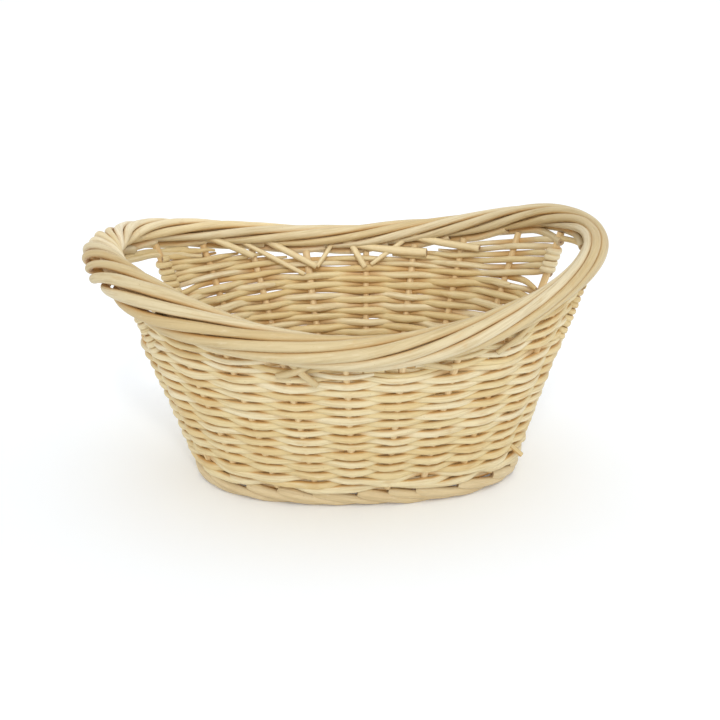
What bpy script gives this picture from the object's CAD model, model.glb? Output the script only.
import math
import bpy
import numpy as np
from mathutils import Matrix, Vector


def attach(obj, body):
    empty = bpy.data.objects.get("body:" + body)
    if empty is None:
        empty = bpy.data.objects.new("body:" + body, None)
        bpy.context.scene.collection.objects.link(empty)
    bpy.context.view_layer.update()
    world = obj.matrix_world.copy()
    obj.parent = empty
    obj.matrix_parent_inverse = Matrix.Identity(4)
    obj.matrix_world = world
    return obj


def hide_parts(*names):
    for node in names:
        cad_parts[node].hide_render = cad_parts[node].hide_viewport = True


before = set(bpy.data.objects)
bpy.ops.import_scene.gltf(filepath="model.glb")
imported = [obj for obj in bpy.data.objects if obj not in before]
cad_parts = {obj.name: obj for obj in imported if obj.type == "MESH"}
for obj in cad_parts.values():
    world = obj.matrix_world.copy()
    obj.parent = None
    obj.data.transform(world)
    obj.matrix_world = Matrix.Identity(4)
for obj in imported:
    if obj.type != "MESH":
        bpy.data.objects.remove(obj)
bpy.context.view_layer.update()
MM = 0.001
rng = np.random.default_rng(7)

# ---------------------------------------------------------------- shape of the basket, in mm
RA, RB, RN = 187.0, 138.0, 2.1
HM, HL, HR, HP = 145.0, 180.0, 188.0, 1.78
FA, FB, FN, FS = 123.0, 80.0, 2.37, 5.0
STAKES = np.array([4.8, 16, 31, 48, 64, 81, 103, 122, 138, 154, 165.5, 177, 188.5, 200,
                   214, 229, 246, 264.5, 282, 299, 315, 329.5, 342.5, 353.6])
NS = 24
POSTS = [1, 9, 13, 22]
HOLE = [0, 10, 11, 12, 23]
STAKE_R = 2.6
PITCH = 4.2
ROWS = 22
WALE_Z0 = 17.2
SIDE_Z0 = WALE_Z0 + 3 * PITCH
TOP_Z0 = SIDE_Z0 + ROWS * PITCH
CORNER_Z0 = TOP_Z0 + PITCH


def oval(a, b, n, t):
    t = np.radians(t)
    return (np.abs(np.cos(t) / a) ** n + np.abs(np.sin(t) / b) ** n) ** (-1 / n)


def rim(t):
    t = np.asarray(t, float)
    r = oval(RA, RB, RN, t)
    x, y = r * np.cos(np.radians(t)), r * np.sin(np.radians(t))
    h = np.where(x < 0, HL, HR)
    return np.stack([x, y, HM + (h - HM) * (np.abs(x) / RA) ** HP], -1)


def foot(t):
    t = np.asarray(t, float)
    r = oval(FA, FB, FN, t)
    return np.stack([r * np.cos(np.radians(t)) + FS, r * np.sin(np.radians(t)), np.full(t.shape, 6.0)], -1)


def wall(t, z):
    f, g = foot(t), rim(t)
    k = ((np.asarray(z, float) - f[..., 2]) / (g[..., 2] - f[..., 2]))[..., None]
    c = np.cos(np.radians(np.asarray(t, float)))
    dip = np.stack([np.sign(c) * np.abs(c) ** 2, 0 * c, 0 * c], -1) * 1.8 * np.sin(np.pi * np.clip(k, 0, 1))
    return f + (g - f) * k - dip


def unit(v):
    return v / np.maximum(np.linalg.norm(v, axis=-1, keepdims=True), 1e-9)


def outward(t, z):
    d = wall(np.asarray(t, float) + 0.5, z) - wall(np.asarray(t, float) - 0.5, z)
    return unit(np.stack([d[..., 1], -d[..., 0], 0 * d[..., 0]], -1))


def normal(t, z):
    # the wall's own outward normal, which leans down because the wall flares
    t = np.asarray(t, float); z = np.asarray(z, float) + 0 * t
    dt = wall(t + 0.5, z) - wall(t - 0.5, z)
    dz = wall(t, z + 1) - wall(t, z - 1)
    return unit(np.cross(dt, dz))


def stake_angle(k):
    k = np.asarray(k)
    return STAKES[np.mod(k, NS)] + 360 * np.floor_divide(k, NS)


def at_stake(u):
    # angle at the fractional stake number u
    k = np.floor(u).astype(int)
    a, b = stake_angle(k), stake_angle(k + 1)
    return a + (b - a) * (u - k)


def bump(t, c, w):
    return np.exp(-((((t - c) + 180) % 360 - 180) / w) ** 2)


def noise1(x, seed, scale=1.0):
    # smooth one-dimensional noise, -1 to 1
    x = np.asarray(x, float) / scale + seed * 17.31
    return (np.sin(x * 1.7 + 1.3 * seed) + np.sin(x * 2.9 + 2.1 * seed + 1.0) * 0.7 + np.sin(x * 4.7 + 0.7 * seed) * 0.4) / 2.1


# ---------------------------------------------------------------- rods
class Rods:
    def __init__(self, name):
        self.name = name
        self.v, self.f, self.rodp, self.rid, self.kink, self.stain = [], [], [], [], [], []
        self.sizes = []
        self.n = 0

    def rod(self, P, r, squash=1.0, N=None, sides=12, seed=None, kink=None, ends=(True, True), wob=0.035, vary=0.05, rid=None,
            touch=0.0, core=0.0, recess=None):
        """P: points along the middle in mm; r: radius; squash: width across N divided by width along it.
        touch, core, recess: how stained the rod is above and below, on the side away from N, and where it lies on a stake."""
        P = np.asarray(P, float)
        n = len(P)
        if seed is None:
            seed = rng.uniform(0, 100)
        rid = (seed * 0.618) % 1.0 if rid is None else rid
        T = unit(np.gradient(P, axis=0))
        if N is None:
            N = np.tile([0.0, 0.0, 1.0], (n, 1))
        A = unit(N - (N * T).sum(1, keepdims=True) * T)
        B = np.cross(T, A)
        L = np.concatenate([[0], np.cumsum(np.linalg.norm(np.diff(P, axis=0), axis=1))])
        r = np.broadcast_to(np.asarray(r, float), (n,)) * (1 + vary * noise1(L, seed, 22.0))
        sq = np.broadcast_to(np.asarray(squash, float), (n,))
        kink = np.zeros(n) if kink is None else np.asarray(kink, float)
        j = np.arange(sides)
        a = 2 * np.pi * j / sides
        lump = 1 + wob * (np.sin(2 * a[None, :] + seed + L[:, None] / 31) + 0.6 * np.sin(3 * a[None, :] + 2 * seed + L[:, None] / 19))
        # bark-side creases where a rod is bent hard
        lump = lump * (1 - 0.06 * kink[:, None] * (0.5 + 0.5 * np.sin(L[:, None] * 3.1 + 1.5 * np.sin(a[None, :] * 2 + seed))))
        ru = r[:, None] * lump * np.sqrt(sq)[:, None]
        rv = r[:, None] * lump / np.sqrt(sq)[:, None]
        ring = P[:, None, :] + A[:, None, :] * (ru * np.cos(a))[..., None] + B[:, None, :] * (rv * np.sin(a))[..., None]
        V = ring.reshape(-1, 3)
        ca = np.cos(a)[None, :]
        st = touch * np.clip((0.46 - np.abs(ca)) / 0.42, 0, 1) + np.zeros((n, sides))
        st = st + np.broadcast_to(np.asarray(core, float), (n,))[:, None] * np.clip((0.34 - ca) / 0.5, 0, 1)
        if recess is not None:
            st = st + 0.75 * np.clip(-np.asarray(recess, float)[:, None] * ca, 0, 1)
        off = rid * 977.0
        U = np.repeat(L + off, sides)
        rp = np.stack([U, np.tile(3.0 * np.cos(a), n), np.tile(3.0 * np.sin(a), n)], -1)
        base = self.n
        i = np.arange(n - 1)[:, None]
        q = np.stack([i * sides + j, i * sides + (j + 1) % sides, (i + 1) * sides + (j + 1) % sides, (i + 1) * sides + j], -1).reshape(-1, 4)
        faces = [q + base]
        extra_v, extra_rp, extra_r, extra_k = [], [], [], []
        ncap = 0
        capfaces = []
        for e, (on, idx, d) in enumerate(((ends[0], 0, -1.0), (ends[1], n - 1, 1.0))):
            # bevelled rim of the cut, then a flat end
            c = P[idx] + T[idx] * d * (0.35 if on else r[idx] * 0.5)
            k = 0.84 if on else 0.5
            pts = P[idx] + (V[idx * sides:(idx + 1) * sides] - P[idx]) * k + T[idx] * d * (0.35 if on else r[idx] * 0.35)
            b0 = base + n * sides + len(extra_v)
            for m in range(sides):
                extra_v.append(pts[m]); extra_rp.append([L[idx] + off, 3 * k * math.cos(a[m]), 3 * k * math.sin(a[m])]); extra_k.append(0.0)
            extra_v.append(c); extra_rp.append([L[idx] + off, 0, 0]); extra_k.append(0.0)
            s0 = base + idx * sides
            if d > 0:
                faces.append(np.stack([s0 + j, s0 + (j + 1) % sides, b0 + (j + 1) % sides, b0 + j], -1))
                capfaces.append((np.stack([b0 + j, b0 + (j + 1) % sides, np.full(sides, b0 + sides)], -1), on))
            else:
                faces.append(np.stack([s0 + (j + 1) % sides, s0 + j, b0 + j, b0 + (j + 1) % sides], -1))
                capfaces.append((np.stack([b0 + (j + 1) % sides, b0 + j, np.full(sides, b0 + sides)], -1), on))
        quads = np.concatenate(faces)
        self.v.append(V); self.v.append(np.array(extra_v))
        self.rodp.append(rp); self.rodp.append(np.array(extra_rp))
        tot = len(V) + len(extra_v)
        self.rid.append(np.full(tot, rid))
        self.kink.append(np.concatenate([np.repeat(kink, sides), np.array(extra_k)]))
        self.stain.append(np.concatenate([np.clip(st, 0, 1).reshape(-1), np.zeros(len(extra_v))]))
        self.f.append((quads, 4, 0.0, False))
        for cf, on in capfaces:
            self.f.append((cf, 3, 1.0 if on else 0.0, on))
        self.n += tot

    def build(self, nodes, mat):
        V = np.concatenate(self.v) * MM
        me = bpy.data.meshes.new(self.name)
        loops = np.concatenate([q.reshape(-1) for q, k, c, s in self.f])
        totals = np.concatenate([np.full(len(q), k) for q, k, c, s in self.f])
        capc = np.concatenate([np.full(q.size, c) for q, k, c, s in self.f])
        flat = np.concatenate([np.full(len(q), s) for q, k, c, s in self.f])
        starts = np.concatenate([[0], np.cumsum(totals)[:-1]])
        me.vertices.add(len(V)); me.vertices.foreach_set("co", V.astype(np.float32).reshape(-1))
        me.loops.add(len(loops)); me.loops.foreach_set("vertex_index", loops.astype(np.int32))
        me.polygons.add(len(totals)); me.polygons.foreach_set("loop_start", starts.astype(np.int32))
        me.polygons.foreach_set("loop_total", totals.astype(np.int32))
        me.update(calc_edges=True)
        me.polygons.foreach_set("use_smooth", (~flat.astype(bool)))
        at = me.attributes.new("rodp", "FLOAT_VECTOR", "POINT"); at.data.foreach_set("vector", np.concatenate(self.rodp).astype(np.float32).reshape(-1))
        at = me.attributes.new("rid", "FLOAT", "POINT"); at.data.foreach_set("value", np.concatenate(self.rid).astype(np.float32))
        at = me.attributes.new("kink", "FLOAT", "POINT"); at.data.foreach_set("value", np.concatenate(self.kink).astype(np.float32))
        at = me.attributes.new("stain", "FLOAT", "POINT"); at.data.foreach_set("value", np.concatenate(self.stain).astype(np.float32))
        at = me.attributes.new("cut", "FLOAT", "CORNER"); at.data.foreach_set("value", capc.astype(np.float32))
        me.validate(); me.update()
        ob = bpy.data.objects.new(self.name, me)
        bpy.context.scene.collection.objects.link(ob)
        me.materials.append(mat)
        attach(ob, "root")
        if nodes:
            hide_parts(*nodes)
        return ob


# ---------------------------------------------------------------- willow
def willow(name, light, mid, deep, rough=0.5, spot=0.5, tone=0.0, shade=0.8):
    m = bpy.data.materials.new(name)
    m.use_nodes = True
    nt = m.node_tree
    nd, ln = nt.nodes, nt.links
    nd.clear()
    out = nd.new("ShaderNodeOutputMaterial")
    bs = nd.new("ShaderNodeBsdfPrincipled")
    ln.new(bs.outputs[0], out.inputs[0])

    def attr(n):
        a = nd.new("ShaderNodeAttribute"); a.attribute_name = n
        return a

    def vec(v, s):
        x = nd.new("ShaderNodeVectorMath"); x.operation = "MULTIPLY"
        ln.new(v, x.inputs[0]); x.inputs[1].default_value = s
        return x.outputs[0]

    def noise(v, scale, detail=3.0, rgh=0.55, dist=0.0):
        x = nd.new("ShaderNodeTexNoise")
        x.inputs["Scale"].default_value = scale; x.inputs["Detail"].default_value = detail
        x.inputs["Roughness"].default_value = rgh; x.inputs["Distortion"].default_value = dist
        ln.new(v, x.inputs["Vector"])
        return x.outputs["Fac"]

    def math_(op, a, b=None, c=None, clamp=False):
        x = nd.new("ShaderNodeMath"); x.operation = op; x.use_clamp = clamp
        for i, y in enumerate((a, b, c)):
            if y is None:
                continue
            if isinstance(y, (int, float)):
                x.inputs[i].default_value = y
            else:
                ln.new(y, x.inputs[i])
        return x.outputs[0]

    def ramp(f, stops):
        x = nd.new("ShaderNodeValToRGB")
        e = x.color_ramp.elements
        while len(e) > len(stops):
            e.remove(e[-1])
        while len(e) < len(stops):
            e.new(0.5)
        for el, (p, c) in zip(e, stops):
            el.position = p; el.color = (*c, 1)
        ln.new(f, x.inputs[0])
        return x.outputs[0]

    def mix(f, a, b, mode="MIX"):
        x = nd.new("ShaderNodeMix"); x.data_type = "RGBA"; x.blend_type = mode
        if isinstance(f, (int, float)):
            x.inputs[0].default_value = f
        else:
            ln.new(f, x.inputs[0])
        for i, y in ((6, a), (7, b)):
            if isinstance(y, tuple):
                x.inputs[i].default_value = (*y, 1)
            else:
                ln.new(y, x.inputs[i])
        return x.outputs[2]

    rp = attr("rodp").outputs["Vector"]
    rid = attr("rid").outputs["Fac"]
    kink = attr("kink").outputs["Fac"]
    cut = attr("cut").outputs["Fac"]
    # slow change of tone along each rod
    slow = noise(vec(rp, (0.012, 0.05, 0.05)), 1.0, 2.0)
    t = math_("ADD", math_("MULTIPLY", rid, 0.62), math_("MULTIPLY", slow, 0.55))
    t = math_("ADD", t, -0.10 + tone)
    body = ramp(t, [(0.12, light), (0.5, mid), (0.92, deep)])
    # long fibres
    fib = noise(vec(rp, (0.035, 0.9, 0.9)), 1.0, 4.0, 0.6)
    body = mix(math_("MULTIPLY", math_("SUBTRACT", fib, 0.44, clamp=True), 2.4, clamp=True), body, tuple(0.80 * x for x in deep), "MIX")
    # pale worn flecks
    pale = noise(vec(rp, (0.09, 0.7, 0.7)), 1.0, 3.0, 0.6)
    body = mix(math_("MULTIPLY", math_("SUBTRACT", pale, 0.56, clamp=True), 2.2, clamp=True), body, tuple(min(1.0, 1.06 * x) for x in light))
    # tan bruises, more of them where the rod is bent
    br = noise(vec(rp, (0.06, 0.22, 0.22)), 1.0, 3.0, 0.65, 0.4)
    brf = math_("MULTIPLY", math_("SUBTRACT", math_("ADD", br, math_("MULTIPLY", kink, 0.10)), 0.565, clamp=True), 3.2, clamp=True)
    body = mix(math_("MULTIPLY", brf, 0.60), body, (0.53, 0.33, 0.125))
    # small brown specks and buds
    sp = noise(vec(rp, (0.35, 0.55, 0.55)), 1.0, 1.0, 0.5)
    spf = math_("MULTIPLY", math_("SUBTRACT", sp, 0.765, clamp=True), 14.0, clamp=True)
    body = mix(math_("MULTIPLY", spf, spot), body, (0.20, 0.085, 0.03))
    sep = nd.new("ShaderNodeSeparateXYZ"); ln.new(rp, sep.inputs[0])
    # dust and stain where a rod lies against its neighbours
    hid = attr("stain").outputs["Fac"]
    hid = math_("MULTIPLY", hid, math_("ADD", 0.45, math_("MULTIPLY", slow, 1.1)), None, True)
    body = mix(math_("MULTIPLY", hid, shade), body, (0.58, 0.31, 0.085))
    # cut ends: darker wood with rings and a pith
    rad = math_("SQRT", math_("ADD", math_("MULTIPLY", sep.outputs[1], sep.outputs[1]), math_("MULTIPLY", sep.outputs[2], sep.outputs[2])))
    endn = noise(vec(rp, (0.0, 1.1, 1.1)), 1.0, 3.0)
    ende = ramp(math_("ADD", math_("MULTIPLY", rad, 0.33), math_("MULTIPLY", math_("SUBTRACT", endn, 0.5), 0.35)),
                [(0.08, (0.10, 0.055, 0.028)), (0.30, (0.36, 0.24, 0.13)), (0.62, (0.47, 0.33, 0.18)), (0.88, (0.27, 0.17, 0.085))])
    body = mix(cut, body, ende)
    ln.new(body, bs.inputs["Base Color"])
    # roughness
    rn = noise(vec(rp, (0.08, 1.3, 1.3)), 1.0, 3.0)
    rr = math_("ADD", math_("MULTIPLY", math_("SUBTRACT", rn, 0.5), 0.30), rough)
    rr = math_("ADD", rr, math_("MULTIPLY", cut, 0.25), None, True)
    ln.new(rr, bs.inputs["Roughness"])
    bs.inputs["Specular IOR Level"].default_value = 0.42
    # bump: fine fibres along the rod and creases across it at the bends
    fine = noise(vec(rp, (0.10, 3.2, 3.2)), 1.0, 3.0, 0.6)
    crease = noise(vec(rp, (2.4, 0.35, 0.35)), 1.0, 2.0, 0.5)
    h = math_("ADD", math_("MULTIPLY", fine, 0.10), math_("MULTIPLY", fib, 0.12))
    h = math_("ADD", h, math_("MULTIPLY", math_("MULTIPLY", crease, kink), 0.22))
    h = math_("ADD", h, math_("MULTIPLY", math_("MULTIPLY", endn, cut), 0.3))
    bp = nd.new("ShaderNodeBump"); bp.inputs["Strength"].default_value = 0.8; bp.inputs["Distance"].default_value = 0.001
    ln.new(h, bp.inputs["Height"]); ln.new(bp.outputs[0], bs.inputs["Normal"])
    return m


def srgb(r, g, b):
    f = lambda c: (c / 255 / 12.92) if c / 255 <= 0.04045 else ((c / 255 + 0.055) / 1.055) ** 2.4
    return (f(r), f(g), f(b))


M_WEAVE = willow("willow_weavers", srgb(227, 216, 185), srgb(218, 200, 153), srgb(210, 183, 127), 0.52, 0.55, shade=0.9)
M_STAKE = willow("willow_stakes", srgb(229, 206, 162), srgb(220, 192, 142), srgb(207, 172, 117), 0.55, 0.4)
M_RIM = willow("willow_rim", srgb(235, 225, 200), srgb(226, 210, 171), srgb(214, 192, 141), 0.50, 0.45, shade=0.9)
M_RIM_NEAR = willow("willow_rim_near", srgb(214, 201, 168), srgb(201, 183, 141), srgb(191, 166, 117), 0.52, 0.45, shade=0.9)
M_FOOT = willow("willow_foot", srgb(226, 213, 184), srgb(214, 196, 157), srgb(204, 178, 131), 0.50, 0.5, shade=0.9)
M_BASE = willow("willow_base", srgb(230, 215, 180), srgb(221, 200, 154), srgb(208, 177, 121), 0.52, 0.5)

# ---------------------------------------------------------------- side stakes
WOBBLE = rng.uniform(-0.6, 0.6, NS)


def stake_line(k, z0, z1, n=24):
    t = STAKES[k]
    z = np.linspace(z0, z1, n)
    o = outward(np.full(n, t), z)
    return wall(np.full(n, t), z) + o * (0.5 * noise1(z, k + 0.5, 40.0))[:, None]


def stake_rods(name, ks, top, nodes):
    R = Rods(name)
    for k in ks:
        P = stake_line(k, 14.9, top(k), 30)
        R.rod(P, 2.85 + 0.15 * math.sin(k * 2.3), N=np.tile(outward(STAKES[k], 60.0), (30, 1)), sides=14, seed=3.1 * k + 1, vary=0.03)
    return R.build(nodes, M_STAKE)


stake_rods("side_stakes_rods", [k for k in range(NS) if k not in POSTS + HOLE], lambda k: rim(STAKES[k])[2] - 9.0, ["side_stakes"])
stake_rods("handle_post_rods", POSTS, lambda k: rim(STAKES[k])[2] - 9.0, ["handle_posts"])
stake_rods("hand_hole_stake_rods", HOLE, lambda k: TOP_Z0 - 0.6, ["hand_hole_stakes"])

# ---------------------------------------------------------------- weaving
AMP = 3.1
SEG = 9


def weave_path(u0, u1, zf, side, amp=AMP, seed=0.0, jitter=0.45):
    """A weaver from fractional stake u0 to u1. zf(u) is its height, side(k) is +1 outside stake k and -1 inside."""
    n = max(int(abs(u1 - u0) * SEG) + 2, 6)
    u = np.linspace(u0, u1, n)
    k = np.floor(u).astype(int)
    s = u - k
    a = np.array([side(int(i)) for i in k], float)
    b = np.array([side(int(i) + 1) for i in k], float)
    w = (1 - np.cos(np.pi * s)) / 2
    off = amp * (a + (b - a) * w)
    t = at_stake(u)
    z = zf(u)
    kz = np.random.default_rng(int(seed * 1000) % 99991).uniform(-1, 1, 64)
    z = z + 0.45 * np.interp(u, np.arange(64) + math.floor(min(u0, u1)) - 1, kz)
    # rows settle together, so neighbours share most of their unevenness
    z = z + 0.85 * noise1(u, 3.3 + 0.35 * np.sin(z[0] / 9.0), 0.8) + jitter * noise1(u, seed, 0.4)
    N = normal(t, z)
    P = wall(t, z) + N * (off + 0.6 * noise1(u, seed + 5, 0.8))[:, None]
    # the springy rods ride a little high where they pass outside
    P[:, 2] += 0.22 * off
    bend = np.exp(-((np.minimum(s, 1 - s)) / 0.16) ** 2)
    return P, N, u, bend, off / amp


def rand_side(row):
    return lambda k: 1.0 if (k + row) % 2 == 0 else -1.0


def wale_side(row):
    return lambda k: -1.0 if (k + row) % 3 == 0 else 1.0


def lay_weaver(R, u0, u1, zf, side, seed, r0=2.95, r1=2.7, amp=AMP, jitter=0.45, squash=1.0, tuck=(True, True)):
    P, N, u, bend, rec = weave_path(u0, u1, zf, side, amp, seed, jitter)
    f = (u - u0) / (u1 - u0)
    r = r0 + (r1 - r0) * f
    # tips tuck in against the inside of the wall
    e = np.zeros(len(u))
    du = np.abs(u1 - u0)
    if tuck[0]:
        e += np.clip(1 - f * du / 0.45, 0, 1) ** 2
    if tuck[1]:
        e += np.clip(1 - (1 - f) * du / 0.45, 0, 1) ** 2
    P = P - N * (1.3 * e)[:, None]
    # fuller where it crosses a stake, thinner where it slips behind its neighbours and at its ends
    lens = 0.5 + 0.5 * np.cos(2 * np.pi * u)
    r = r * (0.94 + 0.16 * lens) * (1 - 0.5 * np.clip(e, 0, 1))
    R.rod(P, r, squash=squash - 0.06 * bend, N=N, seed=seed, kink=bend * 0.9, sides=12, touch=0.9, recess=rec, wob=0.06, vary=0.085)


def siding(name, rows, nodes):
    R = Rods(name)
    for i in rows:
        z = SIDE_Z0 + i * PITCH
        side = rand_side(i)
        zr = rng.uniform(-0.25, 0.25)
        zf = lambda u, z=z, zr=zr, i=i: z + zr + 6.0 * max(0.0, (i - 12) / 9) * bump(at_stake(u), 24, 24)
        # two rods to a round, joined behind a stake
        j0 = (int(rng.integers(13, 22)) // 2) * 2 + ((i + 1) % 2)
        j1 = j0 + int(rng.choice([10, 12, 14]))
        for a, b in ((j0 - 0.24, j1 + 0.22), (j1 - 0.24, j0 + NS + 0.22)):
            seed = rng.uniform(0, 100)
            r0, r1 = rng.uniform(2.95, 3.4), rng.uniform(2.65, 3.0)
            if rng.random() < 0.5:
                r0, r1 = r1, r0
            lay_weaver(R, a, b, zf, side, seed, r0, r1)
    return R.build(nodes, M_WEAVE)


for g in range(0, ROWS, 2):
    siding("siding_rows_%02d_%02d" % (g + 1, g + 2), [g, g + 1], ["siding_row_%02d" % (g + 1), "siding_row_%02d" % (g + 2)])


def wale():
    R = Rods("wale_rows")
    for i in range(3):
        zf = lambda u, i=i: WALE_Z0 + i * PITCH + 0.55 * np.cos(2 * np.pi * (u + i) / 3) + 0.0 * u
        j = [14, 17, 20][i]
        for a, b in ((j - 0.3, j + 12.3), (j + 11.7, j + NS + 0.3)):
            seed = rng.uniform(0, 100)
            lay_weaver(R, a, b, zf, wale_side(i), seed, 3.3, 3.0, amp=3.6, jitter=0.45)
    # a trimmed end sticking out at the right
    a = wall(np.array([337.0]), 33.5)[0] + normal(np.array([337.0]), 33.5)[0] * 0.5
    R.rod(np.linspace(a, a + np.array([9.5, -1.5, -8.5]), 8), 2.1, seed=4.4, sides=10, core=0.6)
    return R.build(["wale_row_1", "wale_row_2", "wale_row_3"], M_WEAVE)


wale()


def top_rows(name, k0, k1, node):
    R = Rods(name)
    zf = lambda u: TOP_Z0 + 6.5 * bump(at_stake(u), 24, 24)
    lay_weaver(R, k0 + 0.0, k1 + 0.0, zf, rand_side(0), rng.uniform(0, 100), 2.8, 2.5)
    return R.build([node], M_WEAVE)


top_rows("top_row_back_rod", 1, 9, "top_row_back")
top_rows("top_row_front_rod", 13, 22, "top_row_front")


def packing(name, post, d, n, node, coil, z_post=None, lift_reach=1.5):
    """Short rows beside a handle post, from the post into the wall under the rope, and the turns round the post."""
    R = Rods(name)
    tp = STAKES[post]
    z_low = TOP_Z0 + PITCH * 0.55
    z_post = z_low if z_post is None else z_post
    lift = z_post - z_low

    def row_z(u, i):
        m = np.abs(u - post)
        room = rim(at_stake(u))[..., 2] - 13.2
        b = z_low + lift * np.clip(1 - m / lift_reach, 0, 1) ** 1.3
        p = np.clip((room - b) / n, 3.5, 6.0)
        return b + (i + 0.55) * p, room

    for i in range(n):
        mm = np.linspace(0.3, 4.6, 60)
        z, room = row_z(post + d * mm, i)
        ok = z < room - 1.2
        far = mm[-1] if ok.all() else mm[max(int(np.argmin(ok)) - 1, 1)]
        far = max(far, 1.25) + rng.uniform(-0.1, 0.15)
        us = np.linspace(post + d * far, post - d * 0.02, int(far * SEG) + 6)
        flip = 1.0 if i % 2 == 0 else -1.0
        k = np.floor(us).astype(int)
        sgn = lambda q: flip * np.where(np.mod(q - post, 2) == 0, 1.0, -1.0)
        q = us - k
        off = AMP * (sgn(k) + (sgn(k + 1) - sgn(k)) * (1 - np.cos(np.pi * q)) / 2)
        off = off * np.clip(np.abs(us - post) / 0.5, 0.25, 1)
        t = at_stake(us)
        z, room = row_z(us, i)
        z = np.minimum(z, room - 0.2) + 0.35 * noise1(us, i * 3.1 + post, 0.7)
        N = normal(t, z)
        bend = np.exp(-((np.minimum(q, 1 - q)) / 0.16) ** 2)
        R.rod(wall(t, z) + N * off[:, None], np.linspace(2.0, 2.8, len(us)) * (0.96 + 0.12 * bend) * np.clip(0.62 + 1.3 * np.abs(us - post), 0, 1) * np.clip(0.55 + 1.1 * np.abs(us - us[0]), 0, 1), N=N, seed=rng.uniform(0, 100), kink=bend, squash=0.95, touch=0.75, recess=off / AMP)
    z0, z1 = coil
    pitch = 5.1
    m = int((z1 - z0) / pitch * 16)
    ph = np.linspace(0, (z1 - z0) / pitch * 2 * np.pi, m)
    zc = z0 + (z1 - z0) * np.linspace(0, 1, m) + 0.35 * np.sin(ph * 0.37 + post)
    tt = np.full(m, tp)
    c, o = wall(tt, zc), normal(tt, zc)
    e = unit(wall(tt + 0.4, zc) - wall(tt, zc))
    wr = 4.3 + 0.25 * np.sin(ph * 0.9 + post)
    V = o * np.cos(ph)[:, None] + e * (d * np.sin(ph))[:, None]
    R.rod(c + V * wr[:, None], 2.45, N=V, seed=post * 1.9, kink=np.ones(m), squash=0.8, sides=12, core=1.0)
    return R.build([node], M_WEAVE)


packing("corner_packing_back_right_rods", 1, 1, 6, "corner_packing_back_right", (141.0, 162.0), z_post=140.0)
packing("corner_packing_back_left_rods", 9, -1, 7, "corner_packing_back_left", (121.5, 150.0))
packing("corner_packing_front_left_rods", 13, 1, 7, "corner_packing_front_left", (121.5, 158.0))
packing("corner_packing_front_right_rods", 22, -1, 8, "corner_packing_front_right", (124.0, 165.0))

# ---------------------------------------------------------------- rim
ARC_T = np.linspace(0, 360, 1441)
_c = rim(ARC_T)
ARC_S = np.concatenate([[0], np.cumsum(np.linalg.norm(np.diff(_c, axis=0), axis=1))])
ARC_LEN = ARC_S[-1]
TURNS_BASE, TURNS_LEFT = 2.65, 0.6
_left = np.exp(-((ARC_T - 182) / 15.0) ** 2)
_g = np.concatenate([[0], np.cumsum(_left[1:] * np.diff(ARC_S))])
PHI = 360 * (TURNS_BASE * ARC_S / ARC_LEN + TURNS_LEFT * _g / _g[-1])      # twist reached at each angle
TURNS = TURNS_BASE + TURNS_LEFT
ROPE_RODS = 24


def phi_at(t):
    t = np.asarray(t, float)
    w = np.floor(t / 360)
    return np.interp(t - 360 * w, ARC_T, PHI) + w * 360 * TURNS


def t_of_phi(p):
    w = np.floor(p / (360 * TURNS))
    return np.interp(p - w * 360 * TURNS, PHI, ARC_T) + 360 * w


def rim_frame(t):
    t = np.asarray(t, float)
    c = rim(t)
    d = unit(rim(t + 0.4) - rim(t - 0.4))
    o = unit(np.cross(d, np.tile([0.0, 0, 1.0], (len(t), 1))))
    return c, o, np.cross(o, d), d


def rope_scale(t):
    return 1.0 + 0.37 * bump(t, 210, 21) + 0.06 * bump(t, 262, 30) + 0.04 * bump(t, 180, 16) - 0.10 * bump(t, 0, 30) - 0.19 * bump(t, 331, 20)


def rope_line(t, a, lay, loop=1.0):
    c, o, up, d = rim_frame(t)
    c = c + np.array([0, 0, 1.0]) * (2.0 * bump(t, 25, 14))[:, None]
    ar = np.radians(a)
    # strands bulge outwards as separate loops over the left handle
    r = lay * rope_scale(t)
    r = r + 5.6 * loop * bump(t, 184, 14) * np.clip(np.cos(ar), 0, 1) ** 1.5
    return c + o * (r * np.cos(ar))[:, None] + up * (r * np.sin(ar))[:, None], unit(o * np.cos(ar)[:, None] + up * np.sin(ar)[:, None])


# the butt end of each border rod inside the rim: how far it sticks out (mm), how far it points down, how far in
BUTTS = {9: (9, 1.5, 2), 8: (0, -4, 0), 7: (0, -4, 0), 6: (0, -4, 0), 5: (0, -4, 0), 4: (0, -4, 0), 3: (0, -4, 0), 2: (0, -4, 0),
         1: (10, 9.5, 2), 0: (4, 5, 2), 12: (0, -4, 0), 15: (14, 5, 3), 17: (20, 7, 4), 18: (0, -4, 0), 20: (16, 6, 3), 21: (0, -4, 0)}


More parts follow.
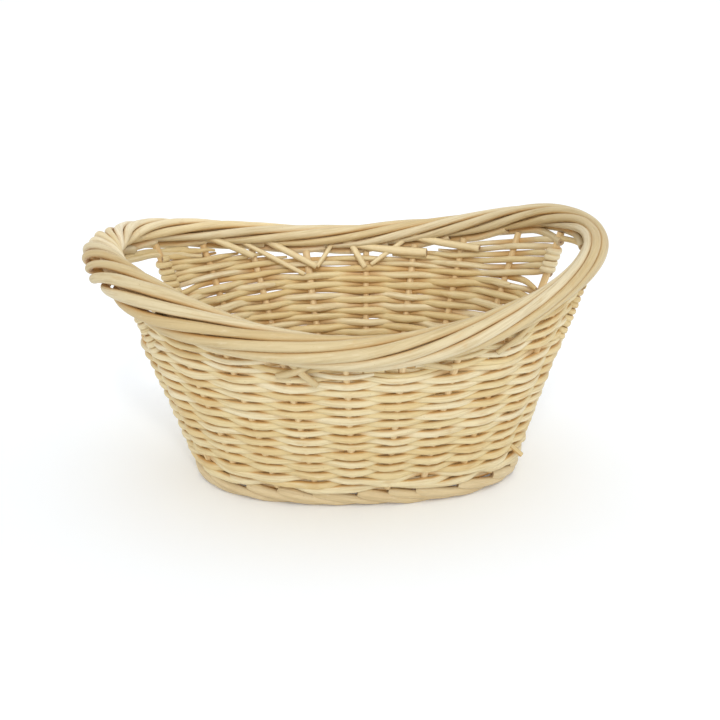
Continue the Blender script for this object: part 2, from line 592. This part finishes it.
def rim_rods(name, idx, node, extra=(), mat=M_RIM):
    R = Rods(name)
    for i in idx:
        g = np.random.default_rng(100 + i)
        out, drop, inw = BUTTS.get(i, (6, 2.5, 1.5))
        p0 = i * 360 * TURNS / ROPE_RODS + 8
        span = 350.0 + g.uniform(-12, 8)
        ext = 0.926 * out
        n = 96
        p = np.linspace(p0 - ext, p0 + span, n)
        t = t_of_phi(p)
        f = (p - p0 + ext) / (span + ext)
        a = 238 + np.maximum(p - p0, 0) + 6 * np.exp(-np.maximum(p - p0, 0) / 12) + 3.5 * noise1(f * 5, i * 1.7) * np.clip(f * 6, 0, 1)
        thin = 1 - 0.24 * bump(t, 184, 16)
        own = g.uniform(0.9, 1.06)
        rr = (3.85 - 0.6 * f) * own * rope_scale(t) ** 0.72 * thin * (1 - 0.45 * np.clip((f - 0.84) / 0.16, 0, 1))
        lay = 9.2 + 0.7 * noise1(f * 6, i + 0.3)
        lead = np.clip(1 - (p - p0 + ext) / (ext + 26), 0, 1)
        lay = lay + (drop * 0.35 if drop < 0 else 0.0) * 2.4 * lead - 4.4 * np.clip((f - 0.82) / 0.18, 0, 1) ** 1.3
        P, N = rope_line(t, a, lay, g.uniform(0.5, 1.25))
        if drop > 0:
            c, o, up, dd = rim_frame(t)
            P = P - up * (drop * lead ** 1.4)[:, None] - o * (inw * lead)[:, None]
        R.rod(P, rr, squash=0.88, N=N, seed=7.7 * i + 2.2, sides=14, wob=0.045, vary=0.045, core=0.8 * np.clip(1 - 2.2 * lead, 0, 1) if drop > 0 else 0.8)
    for t0, t1, d0, d1, r0, r1, s in extra:
        # loose tips and butts poking out under the rope, lying on the wall
        u = np.linspace(0, 1, 14)
        t = t0 + (t1 - t0) * u
        d = d0 + (d1 - d0) * u ** 0.85
        c = rim(t)
        z = c[:, 2] - d
        W = wall(t, z)
        N = normal(t, z) * s
        P = W + N * (6.9 + 0.5 * np.sin(u * 5 + t0) - 2.6 * np.clip(1 - u * 2.2, 0, 1))[:, None]
        R.rod(P, r0 + (r1 - r0) * u, N=N, seed=t0 * 0.7 + d1, sides=12, squash=0.85, kink=np.full(14, 0.4), rid=0.86, core=0.45)
    return R.build([node], mat)


rim_rods("rim_rods_back_strands", range(2, 9), "rim_rods_back",
         ((126.0, 105.5, 4.0, 28.5, 2.0, 1.7, -1), (117.0, 100.5, 2.0, 22.0, 2.8, 2.3, -1), (93.0, 100.0, 1.0, 22.0, 1.9, 1.6, -1),
          (87.0, 81.5, 1.0, 23.0, 2.7, 2.3, -1), (66.0, 79.0, 1.0, 21.5, 2.1, 1.6, -1), (89.0, 59.0, 2.0, 17.0, 2.6, 3.5, -1),
          (65.0, 41.0, 1.0, 20.0, 3.3, 2.6, -1), (138.0, 123.0, 1.0, 16.5, 2.6, 2.7, -1)))
rim_rods("rim_rods_left_strands", range(9, 14), "rim_rods_left_handle", (), M_RIM_NEAR)
rim_rods("rim_rods_front_strands", range(14, 21), "rim_rods_front",
         ((255.5, 244.0, 6, 21.5, 2.9, 2.3, 1), (248.5, 255.5, 8, 24, 2.9, 2.3, 1), (285, 296, 5, 19, 2.3, 1.8, 1), (320, 310, 6, 21, 2.4, 1.9, 1)), M_RIM_NEAR)
rim_rods("rim_rods_right_strands", list(range(21, 24)) + [0, 1], "rim_rods_right_handle", (), M_RIM_NEAR)


def rim_core():
    R = Rods("rim_core_bundle")
    for i in range(5):
        t = np.linspace(i * 72, i * 72 + 360, 240)
        c, o, up, d = rim_frame(t)
        a = np.radians(phi_at(t) + i * 72)
        lay = 3.2
        P = c + o * (lay * np.cos(a))[:, None] + up * (lay * np.sin(a))[:, None]
        R.rod(P, 2.6, N=o, seed=50.0 + i, sides=10)
    return R.build(["rim_core"], M_STAKE)


rim_core()


def lacing():
    R = Rods("hand_hole_lacing_rods")
    for t0, t1, d0, d1, side, s in ((143, 189, 13.5, 15.2, -5.5, 1.0), (139, 185, 17.5, 16.5, -7.2, 2.0), (-24, 19, 13.6, 13.2, -3.5, 3.0)):
        t = np.linspace(t0, t1, 50)
        c = rim(t)
        o = outward(t, c[:, 2] - 20)
        f = np.linspace(0, 1, 50)
        P = c + o * side + np.array([0, 0, -1.0]) * (d0 + (d1 - d0) * f + 0.8 * noise1(t, s, 8.0))[:, None]
        R.rod(P, 2.4, N=o, seed=s * 9.1, sides=12)
    return R.build(["hand_hole_lacing"], M_WEAVE)


lacing()

# ---------------------------------------------------------------- foot border
def foot_border():
    R = Rods("foot_border_plait")
    for k in range(NS):
        n = 40
        u = np.linspace(0, 1, n)
        s = k + 2.8 * u + 0.15 * math.sin(k * 1.9)
        t = at_stake(s)
        o = outward(t, np.full(n, 6.0))
        z = 2.6 + np.log1p(np.exp((11.8 - 14.5 * u - 2.6) * 1.2)) / 1.2
        P = foot(t)
        P[:, 2] = z + 0.3 * math.sin(k * 3.3)
        P = P + o * (4.4 - 9.5 * u ** 1.3 + 2.0 * np.sin(np.pi * u))[:, None]
        r = (3.9 + 0.35 * math.sin(k * 2.7)) * (1 - 0.45 * u ** 1.6)
        r = r * np.clip(0.72 + 4 * u, 0, 1)
        P[:, 2] = np.maximum(P[:, 2], r * 1.08)
        R.rod(P, r, squash=0.8, core=0.9, N=o, seed=11.3 * k, sides=14, wob=0.05, kink=np.exp(-((u - 0.4) / 0.12) ** 2) * 0.6)
    # two rods that run round inside the plait and close the gaps above it
    for z, d in ((12.2, -2.6), (15.6, -4.4)):
        t = np.linspace(0, 360, 241)
        R.rod(wall(t, np.full(241, z)) + normal(t, z) * d, 2.7, seed=z, sides=10, core=1.0)
    return R.build(["foot_border_rods"], M_FOOT)


foot_border()

# ---------------------------------------------------------------- base
BA, BB, BN, BZ = 114.0, 71.0, 2.3, 11.5
CROSS = [-63, -42, -21, 0, 21, 42, 63]
LONG = [-13.5, -4.5, 4.5, 13.5]


def base_sticks():
    R = Rods("base_cross_stick_rods")
    for i, x in enumerate(CROSS):
        e = BB * (1 - (abs(x) / BA) ** BN) ** (1 / BN) - 1
        P = np.stack([np.full(40, x + FS), np.linspace(-e, e, 40), np.full(40, BZ)], -1)
        R.rod(P, 3.6, seed=i * 5.1, sides=14, N=np.tile([0, 0, 1.0], (40, 1)))
    R.build(["base_cross_sticks"], M_STAKE)
    R = Rods("base_long_stick_rods")
    for i, y in enumerate(LONG):
        e = BA * (1 - (abs(y) / BB) ** BN) ** (1 / BN) - 1
        P = np.stack([np.linspace(FS - e, FS + e, 60), np.full(60, y), np.full(60, BZ)], -1)
        R.rod(P, 2.6, seed=i * 6.1 + 40, sides=14, N=np.tile([0, 0, 1.0], (60, 1)))
    R.build(["base_long_sticks"], M_STAKE)


base_sticks()


def base_weave():
    ends = [(0, 4.5), (0, 13.5)] + [(x, 1) for x in (63, 42, 21, 0, -21, -42, -63)] + [(180, y) for y in (13.5, 4.5, -4.5, -13.5)] \
        + [(x, -1) for x in (-63, -42, -21, 0, 21, 42, 63)] + [(0, -13.5), (0, -4.5)]
    nb = len(ends)
    R = Rods("base_weave_rods")
    for i in range(11):
        g = 2.5 + 4.1 * i
        a, b = BA - g, BB - g
        ang = []
        for e in ends:
            if abs(e[1]) > 1:
                x = (-1 if e[0] > 0 else 1) * a * (1 - min(abs(e[1]) / b, 0.999) ** BN) ** (1 / BN); y = e[1]
            else:
                x = e[0]; y = e[1] * b * (1 - min(abs(e[0]) / a, 0.999) ** BN) ** (1 / BN)
            ang.append(math.degrees(math.atan2(y, x)) % 360)
        ang = np.unwrap(np.radians(np.array(ang + [ang[0]])))
        ang = np.degrees(ang)
        u = np.linspace(0, nb, nb * 9 + 1)
        k = np.minimum(np.floor(u).astype(int), nb - 1)
        s = u - k
        t = ang[k] + (ang[k + 1] - ang[k]) * s
        r = oval(a, b, BN, t)
        sg = np.where((k + i) % 2 == 0, 1.0, -1.0)
        dz = sg * (3.6 + 2.0) * np.cos(np.pi * s)
        P = np.stack([r * np.cos(np.radians(t)) + FS, r * np.sin(np.radians(t)), BZ + dz * 0.93], -1)
        R.rod(P, 2.35, N=np.tile([0, 0, 1.0], (len(P), 1)), seed=i * 3.7 + 60, sides=10, kink=np.exp(-(np.minimum(s, 1 - s) / 0.2) ** 2) * 0.5)
    return R.build(["base_weave"], M_BASE)


base_weave()

# ---------------------------------------------------------------- floor, light and camera
def floor():
    me = bpy.data.meshes.new("floor")
    s, z = 6.0, -0.0004
    me.from_pydata([(-s, -s, z), (s, -s, z), (s, s, z), (-s, s, z)], [], [(0, 1, 2, 3)])
    ob = bpy.data.objects.new("floor", me)
    bpy.context.scene.collection.objects.link(ob)
    m = bpy.data.materials.new("floor"); m.use_nodes = True
    b = m.node_tree.nodes["Principled BSDF"]
    b.inputs["Base Color"].default_value = (0.928, 0.962, 1.0, 1)
    b.inputs["Roughness"].default_value = 0.9
    b.inputs["Emission Color"].default_value = (1, 1, 1, 1)
    b.inputs["Emission Strength"].default_value = 0.07
    b.inputs["Specular IOR Level"].default_value = 0.1
    me.materials.append(m)


floor()
bpy.context.scene.view_settings.view_transform = "Standard"
bpy.context.scene.view_settings.look = "None"
w = bpy.data.worlds.new("studio"); bpy.context.scene.world = w
w.use_nodes = True
w.node_tree.nodes["Background"].inputs[0].default_value = (1.0, 1.0, 1.0, 1)
w.node_tree.nodes["Background"].inputs[1].default_value = 1.0


def area(name, loc, aim, size, power, color=(1, 1, 1)):
    l = bpy.data.lights.new(name, "AREA")
    l.shape = "RECTANGLE"; l.size = size[0]; l.size_y = size[1]; l.energy = power; l.color = color
    o = bpy.data.objects.new(name, l)
    o.location = loc
    o.rotation_euler = (Vector(aim) - Vector(loc)).to_track_quat("-Z", "Y").to_euler()
    bpy.context.scene.collection.objects.link(o)


area("front_soft", (-0.2, -2.3, 0.75), (0, 0, 0.05), (2.4, 1.2), 6.8)
area("fill_right", (1.3, -0.8, 1.0), (0, 0, 0.1), (1.4, 1.4), 2)

# a soft spot that reaches the inside of the basket over the front rim
sp = bpy.data.lights.new("inside_spot", "SPOT")
sp.energy = 74; sp.spot_size = math.radians(13.8); sp.spot_blend = 0.8; sp.shadow_soft_size = 0.2; sp.color = (1.0, 0.97, 0.92)
so = bpy.data.objects.new("inside_spot", sp)
so.location = (-0.05, -1.5, 1.45)
so.rotation_euler = (Vector((0.0, 0.155, 0.136)) - Vector(so.location)).to_track_quat("-Z", "Y").to_euler()
bpy.context.scene.collection.objects.link(so)

cam = bpy.data.cameras.new("camera")
co = bpy.data.objects.new("camera", cam)
bpy.context.scene.collection.objects.link(co)
e, az, D = math.radians(21.3), math.radians(3.7), 1.300
cam.lens = 1639 / 720 * 36
cam.sensor_width = 36
tgt = Vector((0, 0, 0.08))
co.location = tgt + Vector((-D * math.cos(e) * math.sin(az), -D * math.cos(e) * math.cos(az), D * math.sin(e)))
q = (tgt - co.location).to_track_quat("-Z", "Y")
co.rotation_euler = q.to_euler()
co.rotation_euler.rotate_axis("Z", math.radians(0.14))
cam.shift_x = 9.0 / 720
cam.shift_y = 8.6 / 720
cam.clip_start = 0.01
bpy.context.scene.camera = co
